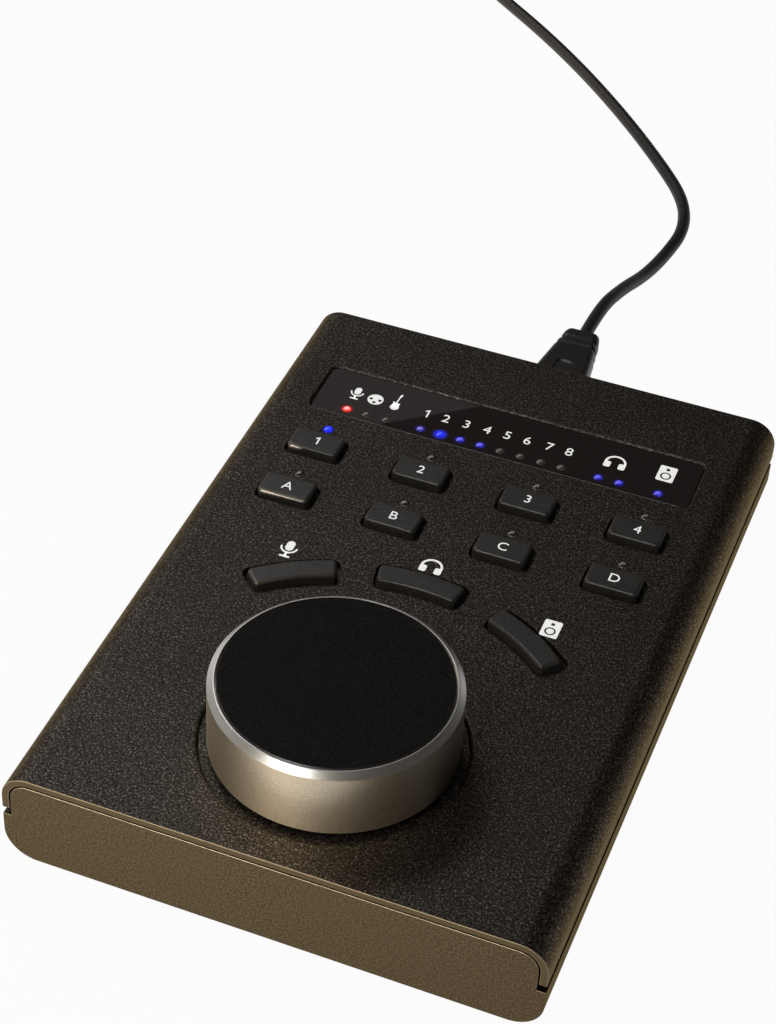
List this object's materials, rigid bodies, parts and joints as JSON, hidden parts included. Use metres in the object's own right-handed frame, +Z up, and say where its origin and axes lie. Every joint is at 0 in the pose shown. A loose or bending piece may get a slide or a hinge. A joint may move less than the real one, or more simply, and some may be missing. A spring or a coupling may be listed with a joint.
{
  "type": "studio monitor controller",
  "caption": "Flat desktop monitor controller with a large turning and pressing knob, spring keys, a smoked display strip and a USB cable.",
  "frame": {"origin": "on the surface the feet stand on, under the middle of the housing", "axes": "+X to the user's right, +Y from the knob end to the cable end, +Z up"},
  "size_m": [0.171, 0.4545, 0.043],
  "materials": {
    "cover_paint": "fine-textured black powder coat",
    "chassis_paint": "satin black-brown coat",
    "steel": "zinc plated",
    "black_steel": "blackened",
    "foot_rubber": "matte",
    "window_plastic": "smoked, polished",
    "black_plastic": "moulded",
    "led_plastic": "clear",
    "clear_plastic": "clear, polished",
    "board_laminate": "solder mask",
    "brass": "turned",
    "plated_shell": "nickel plated",
    "plug_rubber": "satin moulding",
    "cable_jacket": "satin",
    "tie_plastic": "smooth",
    "white_plastic": "moulded",
    "knob_steel": "ground",
    "knob_aluminium": "bead blasted, bright chamfer",
    "inlay_plastic": "fine texture",
    "key_rubber": "soft satin"
  },
  "bodies": {
    "housing": {"top_cover": "cover_paint", "base_chassis": "chassis_paint", "cover_posts": "steel", "base_screws": "black_steel", "foot_front_left": "foot_rubber", "foot_front_right": "foot_rubber", "foot_rear_left": "foot_rubber", "foot_rear_right": "foot_rubber", "display_window": "window_plastic", "window_mask": "black_plastic", "indicator_leds": "led_plastic", "key_leds": "led_plastic", "light_pipes": "clear_plastic", "main_board": "board_laminate", "board_spacers": "brass", "board_screws": "steel", "board_chips": "black_plastic", "switch_housings": "black_plastic", "encoder_body": "steel", "encoder_bushing": "brass", "encoder_washer": "steel", "encoder_nut": "steel", "usb_socket_shell": "plated_shell", "usb_socket_tongue": "black_plastic", "usb_plug_body": "plug_rubber", "usb_plug_tip": "plated_shell", "usb_cable": "cable_jacket", "usb_cable_coil": "cable_jacket", "cable_tie": "tie_plastic", "usb_a_plug_body": "plug_rubber", "usb_a_plug_shell": "plated_shell", "usb_a_plug_tongue": "white_plastic"},
    "key_1_press": {"key_1": "key_rubber", "key_1_plunger": "white_plastic"},
    "key_2_press": {"key_2": "key_rubber", "key_2_plunger": "white_plastic"},
    "key_3_press": {"key_3": "key_rubber", "key_3_plunger": "white_plastic"},
    "key_4_press": {"key_4": "key_rubber", "key_4_plunger": "white_plastic"},
    "key_a_press": {"key_a": "key_rubber", "key_a_plunger": "white_plastic"},
    "key_b_press": {"key_b": "key_rubber", "key_b_plunger": "white_plastic"},
    "key_c_press": {"key_c": "key_rubber", "key_c_plunger": "white_plastic"},
    "key_d_press": {"key_d": "key_rubber", "key_d_plunger": "white_plastic"},
    "microphone_key_press": {"microphone_key": "key_rubber", "microphone_key_plunger": "white_plastic"},
    "headphone_key_press": {"headphone_key": "key_rubber", "headphone_key_plunger": "white_plastic"},
    "speaker_key_press": {"speaker_key": "key_rubber", "speaker_key_plunger": "white_plastic"},
    "encoder_push": {"encoder_plunger": "white_plastic"},
    "knob": {"encoder_shaft": "knob_steel", "knob_insert": "black_plastic", "knob_shell": "knob_aluminium", "knob_inlay": "inlay_plastic"}
  },
  "joints": [
    {"name": "key_1_travel", "type": "slide", "parent": "housing", "child": "key_1_press", "axis": [0, 0, 1], "range_m": [-0.0008, 0], "stiffness_N_per_m": 600, "springref_m": 0.001},
    {"name": "key_2_travel", "type": "slide", "parent": "housing", "child": "key_2_press", "axis": [0, 0, 1], "range_m": [-0.0008, 0], "stiffness_N_per_m": 600, "springref_m": 0.001},
    {"name": "key_3_travel", "type": "slide", "parent": "housing", "child": "key_3_press", "axis": [0, 0, 1], "range_m": [-0.0008, 0], "stiffness_N_per_m": 600, "springref_m": 0.001},
    {"name": "key_4_travel", "type": "slide", "parent": "housing", "child": "key_4_press", "axis": [0, 0, 1], "range_m": [-0.0008, 0], "stiffness_N_per_m": 600, "springref_m": 0.001},
    {"name": "key_a_travel", "type": "slide", "parent": "housing", "child": "key_a_press", "axis": [0, 0, 1], "range_m": [-0.0008, 0], "stiffness_N_per_m": 600, "springref_m": 0.001},
    {"name": "key_b_travel", "type": "slide", "parent": "housing", "child": "key_b_press", "axis": [0, 0, 1], "range_m": [-0.0008, 0], "stiffness_N_per_m": 600, "springref_m": 0.001},
    {"name": "key_c_travel", "type": "slide", "parent": "housing", "child": "key_c_press", "axis": [0, 0, 1], "range_m": [-0.0008, 0], "stiffness_N_per_m": 600, "springref_m": 0.001},
    {"name": "key_d_travel", "type": "slide", "parent": "housing", "child": "key_d_press", "axis": [0, 0, 1], "range_m": [-0.0008, 0], "stiffness_N_per_m": 600, "springref_m": 0.001},
    {"name": "microphone_key_travel", "type": "slide", "parent": "housing", "child": "microphone_key_press", "axis": [0, 0, 1], "range_m": [-0.0008, 0], "stiffness_N_per_m": 600, "springref_m": 0.001},
    {"name": "headphone_key_travel", "type": "slide", "parent": "housing", "child": "headphone_key_press", "axis": [0, 0, 1], "range_m": [-0.0008, 0], "stiffness_N_per_m": 600, "springref_m": 0.001},
    {"name": "speaker_key_travel", "type": "slide", "parent": "housing", "child": "speaker_key_press", "axis": [0, 0, 1], "range_m": [-0.0008, 0], "stiffness_N_per_m": 600, "springref_m": 0.001},
    {"name": "knob_push", "type": "slide", "parent": "housing", "child": "encoder_push", "axis": [0, 0, 1], "range_m": [-0.0005, 0], "stiffness_N_per_m": 4000, "springref_m": 0.00075},
    {"name": "knob_spin", "type": "hinge", "parent": "encoder_push", "child": "knob", "pos_m": [0, -0.0517, 0.018], "axis": [0, 0, 1], "continuous": true}
  ]
}
